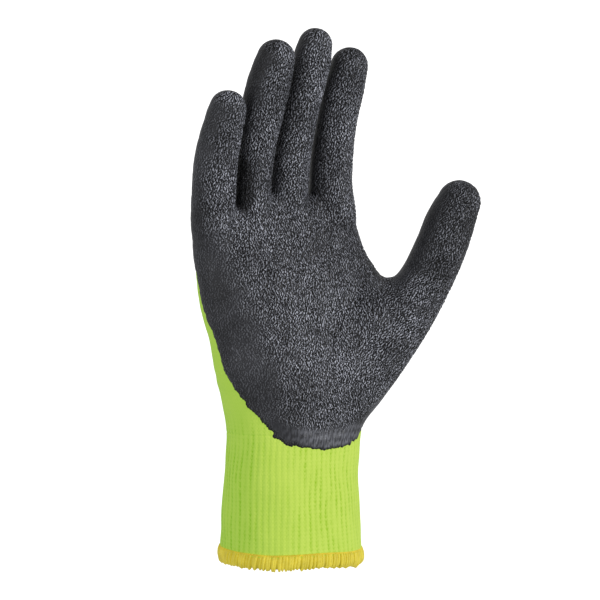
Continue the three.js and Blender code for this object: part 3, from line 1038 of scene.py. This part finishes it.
def rib_height(turn, z, ribs):
    """The ribs' relief from 0 in the valleys to 1 on the ribs, which fade out into the hand."""
    wave = 0.5 + 0.5 * np.cos(turn * ribs * math.tau)
    fade = 1 - smoothstep(CUFF_TOP - 8, CUFF_TOP + 9, z)
    return wave**0.6 * fade + (1 - fade)


def valley_shade(turn, z, ribs):
    """How strongly painted shade darkens a place between two ribs, from 0 to 1, after how deep it
    lies there. Some valleys hardly open, and it is weaker on the sides in FLAT_SIDES.
    """
    wave = 0.5 - 0.5 * np.cos(turn * ribs * math.tau)
    fade = 1 - smoothstep(CUFF_TOP - 6, CUFF_TOP + 14, z)
    patches = smoothstep(-1.3, 1.3, waves(turn * CUFF_GIRTH, z * 0.2, 7, 55, 32))
    flat = sum(np.exp(-((turn - side) / wide) ** 2) for side, wide in FLAT_SIDES)
    return wave**1.8 * fade * (0.35 + 0.65 * patches) * (1 - 0.75 * flat)


def knit_uv(form, course, columns):
    """The stitch pattern for every corner of the form: columns round each tube and courses up it.
    A face takes it from the digit or palm that it lies on."""
    z = form.points[:, 2]
    pairs = [np.stack([swayed(form.arm.turn, z) * columns + 0.5, z], axis=1)]
    owner = form.on.copy()
    for k, name in enumerate(DIGITS):
        at, line = form.digits[name], LINES[name]
        wide = line.half.max() * math.tau
        count = round(wide / (form.arm.length.max() / columns))
        back = np.where(at.angle > 0, at.angle - math.pi, at.angle + math.pi)
        pairs.append(np.stack([back / math.tau * count, at.s], axis=1))
        start = line.rows[2 if name == "thumb" else 1]
        owner[(at.out < 0.6) & (at.s > start) & (form.arm.out > 1)] = k
    pairs = np.array(pairs) / [1, course / MM]
    return pairs[by_face(form, owner)[:, None] + 1, form.faces]


def knit_hand(settings, cuff):
    """The palm's knit and the five stalls, cut from one skin so that nothing shows at the joins."""
    form = hand_form(KNIT)
    depth, _ = coat_depth(form)
    uv = knit_uv(form, settings.course, 2 * cuff.ribs)
    x, _, z = form.points.T
    turn = swayed(form.arm.turn, z)
    ribs = rib_height(turn, z, cuff.ribs) - 1
    ripple = waves(x, z, 9, 3, 24) * 0.06 * (1 - smoothstep(0, UNDER_COAT, depth))
    bottom = CUFF_TOP - JOIN_LAP / 2
    sink = JOIN_SINK * (1 - smoothstep(bottom, CUFF_TOP + JOIN_LAP / 2, z))
    lift = ribs * cuff.depth / MM + ripple - sink
    points = form.points + form.normals * lift[:, None]
    hidden = (depth > UNDER_COAT).astype(float)
    values = {"unseen": hidden, "valley": valley_shade(turn, z, cuff.ribs)}
    material = knit_material("brushed acrylic plain knit", settings.colour, settings.shade)
    face_on = by_face(form, form.on)
    for k, name in enumerate(("hand", *DIGITS), -1):
        keep = face_on == k
        seen = 1 - hidden[form.faces[keep]].mean()
        mesh = cut_form(form, points, keep, values, uv, bottom if name == "hand" else None)
        mesh = wall_inside(mesh, settings.wall, seen, KNIT_THIN)
        node = "hand_body" if name == "hand" else name + "_stall"
        piece("knit_" + name, mesh, material, node)


def coat_pieces(settings, cuff):
    """The latex coat, in pieces that share their borders: heel, palm and the five digits."""
    form = hand_form(LATEX)
    depth, heel = coat_depth(form)
    x, y, z = form.points.T
    turn = form.arm.turn
    field, strength, tone_and_shade, across = hand_crinkle(form, depth, heel, settings.pitch / MM)
    ribs = rib_height(turn, np.zeros(len(z)), cuff.ribs)
    ragged = waves(x + y, z, 5, 7, 20) * 0.2 + waves(x - y, z, 1.8, 8, 20) * 0.1
    depth = depth + ragged + (ribs - 0.5) * 0.25 * smoothstep(75, 60, z)
    reach, level = np.array(COAT_RISE).T
    lift = np.interp(depth, reach, level * settings.height / MM)
    band = smoothstep(13, 7, heel) * smoothstep(0.3, 2, depth) * (heel < 14)
    lift += (ribs - 0.6) * 0.14 * band + waves(x + y, z * 0.4, 3, 9, 24) * 0.03
    streak = smoothstep(-0.8, 1.1, waves(turn * BAND_GIRTH, z * 0.33, 1.4, 33, 48))
    points = form.points + form.normals * lift[:, None]
    values = {
        "relief": field * strength,
        "crinkled": np.maximum(np.minimum(strength, 1), 0.17 * (1 - band)),
        # The band fades out towards the little finger's side, where it turns from the light:
        # painted shade
        "smooth": band * (0.1 + 0.9 * streak) * smoothstep(-24, -2, x),
        # Darker along the coat's edge
        "tone_and_shade": tone_and_shade * (0.3 + 0.7 * smoothstep(0.1, 1.3, depth)),
        "rise": settings.crinkle / MM * strength * field,
        "out": form.normals, "across": across, "unseen": np.zeros(len(z)),
    }
    inside = (depth[form.faces] > reach[0]).all(axis=1)
    face_on = by_face(form, form.on)
    low = z[form.faces].mean(axis=1) < HEEL_TOP
    parts = {"heel": (face_on == -1) & low, "palm": (face_on == -1) & ~low}
    parts.update({name: face_on == k for k, name in enumerate(DIGITS)})
    material = latex_material("crinkled natural latex", settings.colour, settings.wrinkle)
    for name, here in parts.items():
        mesh = cut_form(form, points, here & inside, values)
        mesh = wall_inside(mesh, settings.skin, 1, LATEX_THIN)
        # Only the outer side rises with the crinkles. The inner side lies on the knit.
        out = taken(mesh, "out")
        outer = (values_of(mesh.vertex_normals, "vector", 3) * out).sum(1) > 0.2
        moved = points_of(mesh) + out * taken(mesh, "rise") * outer[:, None]
        mesh.vertices.foreach_set("co", (moved * MM).ravel())
        piece("latex_" + name, mesh, material, "latex_coat")


def cuff_mesh(knit, cuff):
    """The ribbed cuff: its outside column by column and stitch by stitch, and a plain inside. Its
    UV map counts columns and courses, and "valley" is how strongly painted shade darkens a point
    between two ribs."""
    around = cuff.ribs * 8
    turns = np.arange(around + 1) / around
    rows, _, _ = smooth_rows(ARM, 0.55)
    rows = rows[(rows[:, Z] > CUFF_BOTTOM) & (rows[:, Z] < CUFF_TOP + JOIN_LAP)]
    course = knit.course / MM

    def ring(row, turn, lift, valley):
        x, y = oval(0.25 - turns, row[WIDTH], row[DEPTH])
        across = np.stack([x / (row[WIDTH] / 2), y / (row[DEPTH] / 2)], axis=1)
        spread = unit(signed_power(across, SQUARENESS - 1))
        out_x, out_y = unit(spread / [row[WIDTH], row[DEPTH]]).T * lift
        uv = np.stack([turn * 2 * cuff.ribs + 0.5, np.full(around + 1, row[Z] / course)], axis=1)
        return level_ring(row[X] + x + out_x, row[Y] + y + out_y, row[Z]), uv, valley

    rings = []
    for row in rows:
        z = np.full(around + 1, row[Z])
        turn = swayed(turns, z)
        ribs = rib_height(turn, z, cuff.ribs) - 1
        pull = 1 + 0.25 * np.sin(z / course * math.tau)
        slack = waves(turns * CUFF_GIRTH, z, 26, 41, 16) * 0.18
        slack *= smoothstep(8, 20, z) * (1 - smoothstep(50, 62, z))
        sink = JOIN_SINK * smoothstep(CUFF_TOP - JOIN_LAP / 2, CUFF_TOP + JOIN_LAP, z)
        lift = ribs * pull * cuff.depth / MM + slack - sink
        rings.append(ring(row, turn, lift, valley_shade(turn, z, cuff.ribs)))
    for k in sorted({0, *range(len(rows) - 1, 0, -INSIDE_STEP)}, reverse=True):
        rings.append(ring(rows[k], turns, -knit.wall / MM, np.zeros(around + 1)))
    rings.append(rings[0])
    places, uv, valleys = (np.array(grid) for grid in zip(*rings))
    places[:, -1] = places[:, 0]
    bm = bmesh.new()
    layers = bm.loops.layers.uv.new("stitches"), bm.verts.layers.float.new("valley")
    tube(bm, places, (layers[0], uv), (layers[1], valleys))
    return mesh_from(bm)


def hem_point(turn, out, z):
    """A place on the hem: a share of a turn from the middle of the back, a distance outside the
    cuff's surface, and a height."""
    low, high = np.array(ARM[:2])
    section = low + (high - low) * (z - low[Z]) / (high[Z] - low[Z]) + 2 * out
    x, y = oval(0.25 - turn, section[WIDTH], section[DEPTH])
    right = THUMB_SIDE[0] * x + THUMB_SIDE[1] * y
    sag = HEM_SAG * smoothstep(8, 36, right) + MIDDLE_SAG * (1 - smoothstep(8, 24, abs(right)))
    return np.array([x, y, z - sag])


def hem_side(turn):
    """The direction along the hem."""
    step = 0.002
    return unit(hem_point(turn + step, 0, 3.5) - hem_point(turn - step, 0, 3.5))


def thread_rings(middle, wide, high):
    """Rings of a thread round its middle line. wide and high are its half breadth and half height
    at every point, as vectors."""
    cos, sin = circle(THREAD_SIDES)
    return middle[:, None] + cos * wide[:, None] + sin * high[:, None]


def hem_mesh(settings):
    """The hem: a core of yarn in the cuff's edge, and thread wraps laid over it side by side."""
    draw = np.random.default_rng(4)
    bm = bmesh.new()
    layer = bm.loops.layers.uv.new("thread")
    deep = bm.verts.layers.float.new("deep")
    count = settings.wraps
    turns = np.arange(count + 1) / count
    tube(bm, np.array([[hem_point(t, *corner) for t in turns] for corner in HEM_CORE]))
    # Painted shade on the core behind the wraps, strongest at the bottom
    for vert in bm.verts:
        vert[deep] = 0.95 - 0.75 * smoothstep(1.5, 5, vert.co.z / MM)
    path, _, _ = smooth_rows([(0, *corner, 0, 0) for corner in WRAP_PATH], 1.3)
    share = np.linspace(0, 1, len(path))
    low = np.exp(-((path[:, 2] - 1.2) / 1.6) ** 2)
    taper = np.sqrt(np.clip(1 - (2 * share - 1) ** 8, 0.02, 1)) * (1 - 0.28 * low)
    for k in range(count):
        turn = (k + draw.uniform(-0.26, 0.26)) / count
        droop = draw.normal(0, 0.3) + 0.35 * (draw.random() < 0.15)
        bulge = draw.normal(0, 0.11)
        lean = draw.uniform(0.6, 2) / count
        half = settings.thread / MM / 2 * draw.uniform(0.88, 1.2) * taper[:, None]
        middle = np.array([
            hem_point(turn + lean * s, corner[1] + bulge, corner[2] - droop * dip)
            for corner, s, dip in zip(path, share, low)
        ])
        side = hem_side(turn)
        proud = np.cross(unit(np.gradient(middle, axis=0)), side)
        rings = thread_rings(middle, side * half, proud * half * 0.85)
        ends = [np.repeat(middle[[e]], THREAD_SIDES + 1, axis=0) for e in (0, -1)]
        tube(bm, np.array([ends[0], *rings, ends[1]]))
    for loop in (loop for face in bm.faces for loop in face.loops):
        place = loop.vert.co / MM
        turned = math.atan2(place.y, place.x)
        loop[layer].uv = (turned * HEM_RADIUS, place.z * HEM_STRETCH)
    return mesh_from(bm)


def chain_mesh(settings):
    """The chain along the hem's upper edge: two threads that twist round each other, one loop
    for every wrap."""
    bm = bmesh.new()
    bm.loops.layers.uv.new("thread")
    steps = settings.wraps * CHAIN_RINGS
    turns = np.arange(steps + 1) / steps
    upwards = np.tile([0, 0, 1], (len(turns), 1))
    outwards = np.cross(upwards, [hem_side(t) for t in turns])
    for phase in (0, math.pi):
        swing = turns * settings.wraps * math.tau + phase
        out = CHAIN_OUT + CHAIN_SWING * np.cos(swing)
        rise = CHAIN_RISE + CHAIN_LIFT * np.sin(swing)
        middle = np.array([hem_point(*place) for place in zip(turns, out, rise)])
        rings = thread_rings(middle, outwards * CHAIN_HALF, upwards * CHAIN_HALF)
        rings[-1] = rings[0]
        tube(bm, rings)
    return mesh_from(bm)


class GLOVE_OT_cuff(bpy.types.Operator):
    """Knit the ribbed cuff"""

    bl_idname = "glove.cuff"
    bl_label = "Ribbed cuff"

    def execute(self, context):
        knit = context.scene.glove_knit
        mesh = cuff_mesh(knit, context.scene.glove_cuff)
        if not mesh.polygons:
            raise RuntimeError("the cuff came out empty")
        material = knit_material("brushed acrylic rib knit", knit.colour, knit.shade)
        piece("knit_cuff", mesh, material, "rib_cuff")
        return {"FINISHED"}


class GLOVE_OT_hand(bpy.types.Operator):
    """Knit the hand and its five stalls"""

    bl_idname = "glove.hand"
    bl_label = "Knitted hand and stalls"

    def execute(self, context):
        knit_hand(context.scene.glove_knit, context.scene.glove_cuff)
        return {"FINISHED"}


class GLOVE_OT_coat(bpy.types.Operator):
    """Dip the palm side in latex"""

    bl_idname = "glove.coat"
    bl_label = "Latex coat"

    def execute(self, context):
        coat_pieces(context.scene.glove_coat, context.scene.glove_cuff)
        return {"FINISHED"}


class GLOVE_OT_hem(bpy.types.Operator):
    """Overlock the cuff's edge"""

    bl_idname = "glove.hem"
    bl_label = "Overlocked hem"

    def execute(self, context):
        hem = context.scene.glove_hem
        wraps = thread_material("textured polyester overlock thread", hem.colour)
        piece("hem_wraps", hem_mesh(hem), wraps, "overlock_hem")
        chain = thread_material("textured polyester chain thread", hem.chain_colour)
        piece("hem_chain", chain_mesh(hem), chain, "overlock_hem")
        return {"FINISHED"}


class GLOVE_OT_stage(bpy.types.Operator):
    """Set up the plain studio, its light and the camera"""

    bl_idname = "glove.stage"
    bl_label = "Studio"

    def execute(self, context):
        studio(context.scene.glove_stage)
        studio_light()
        camera(context.scene.glove_stage)
        # Colours show as they are, as in the photograph, and not softened as for film
        context.scene.view_settings.view_transform = "Standard"
        return {"FINISHED"}


def studio(settings):
    """A round white floor that curves up into a wall all round."""
    bend = np.linspace(0, math.pi / 2, 9)
    curve = FLOOR_RADIUS + STUDIO_BEND * np.sin(bend)
    radius = [0, 700, 1400, *curve, FLOOR_RADIUS + STUDIO_BEND]
    height = [0, 0, 0, *(STUDIO_BEND - STUDIO_BEND * np.cos(bend)), WALL_TOP]
    cos, sin = (side[:, 0] for side in circle(64))
    floor = -settings.drop / MM
    bm = bmesh.new()
    tube(bm, np.array([level_ring(r * cos, r * sin, h + floor) for r, h in zip(radius, height)]))
    mesh = mesh_from(bm)
    mesh.shade_smooth()
    material, tree = new_material("matt white backdrop card")
    surface = add_node(tree, "BsdfPrincipled", {
        "Base Color": rgba("f6f6f6"), "Roughness": 0.9, "Specular IOR Level": 0.1,
        "Emission Color": rgba("ffffff"), "Emission Strength": 0.75,
    })
    add_node(tree, "OutputMaterial", [surface])
    mesh.materials.append(material)
    obj = placed("studio", mesh)
    obj.visible_diffuse = False
    obj.visible_glossy = False
    obj.visible_shadow = False


def studio_light():
    """Soft daylight from all round and two softboxes."""
    world = bpy.data.worlds.new("studio light")
    bpy.context.scene.world = world
    world.use_nodes = True
    world.node_tree.nodes.clear()
    back = add_node(world.node_tree, "Background", {"Color": rgba("ffffff"), "Strength": 0.45})
    add_node(world.node_tree, "OutputWorld", [back])
    for name, (place, size, power) in LIGHTS.items():
        light = bpy.data.lights.new(name, "AREA")
        light.size = size
        light.energy = power
        obj = placed(name, light)
        obj.location = place
        aim = Vector((0, 0, LIGHTS_FACE)) - obj.location
        obj.rotation_euler = aim.to_track_quat("-Z", "Y").to_euler()


def camera(settings):
    """The camera at the photograph's place: a long lens, level with the palm."""
    turn, tilt = settings.turn, settings.tilt
    right = Vector((math.cos(turn), -math.sin(turn), 0))
    level = Vector((-math.sin(turn), -math.cos(turn), 0))
    back = level * math.cos(tilt) + Vector((0, 0, math.sin(tilt)))
    target = right * TARGET[0] + Vector((0, 0, TARGET[1]))
    obj = placed("camera", bpy.data.cameras.new("camera"))
    obj.data.lens = LENS
    obj.data.sensor_width = SENSOR
    turned = Matrix((right, back.cross(right), back)).transposed().to_4x4()
    obj.matrix_world = Matrix.Translation(target + back * settings.distance) @ turned
    bpy.context.scene.camera = obj


class GLOVE_PT_panel(bpy.types.Panel):
    """Lists the glove's pieces"""

    bl_idname = "GLOVE_PT_panel"
    bl_label = "Knit work glove"
    bl_space_type = "VIEW_3D"
    bl_region_type = "UI"
    bl_category = "Glove"

    def draw(self, context):
        for operator, group in PIECES:
            self.layout.operator(operator)
            settings = getattr(context.scene, group)
            for name in settings.__annotations__:
                self.layout.prop(settings, name)


PIECES = (
    ("glove.stage", "glove_stage"),
    ("glove.cuff", "glove_cuff"),
    ("glove.hand", "glove_knit"),
    ("glove.coat", "glove_coat"),
    ("glove.hem", "glove_hem"),
)
GROUPS = {
    "glove_knit": KnitSettings,
    "glove_cuff": CuffSettings,
    "glove_hem": HemSettings,
    "glove_coat": CoatSettings,
    "glove_stage": StageSettings,
}
CLASSES = (
    *GROUPS.values(), GLOVE_OT_stage, GLOVE_OT_cuff, GLOVE_OT_hand, GLOVE_OT_coat, GLOVE_OT_hem,
    GLOVE_PT_panel,
)


def register():
    for cls in CLASSES:
        bpy.utils.register_class(cls)
    for name, group in GROUPS.items():
        setattr(bpy.types.Scene, name, PointerProperty(type=group))


def unregister():
    for name in GROUPS:
        delattr(bpy.types.Scene, name)
    for cls in reversed(CLASSES):
        bpy.utils.unregister_class(cls)


def main():
    register()
    bpy.ops.glove.stage()
    bpy.ops.glove.cuff()
    bpy.ops.glove.hand()
    bpy.ops.glove.coat()
    bpy.ops.glove.hem()
    bpy.context.view_layer.update()


if __name__ == "__main__":
    main()
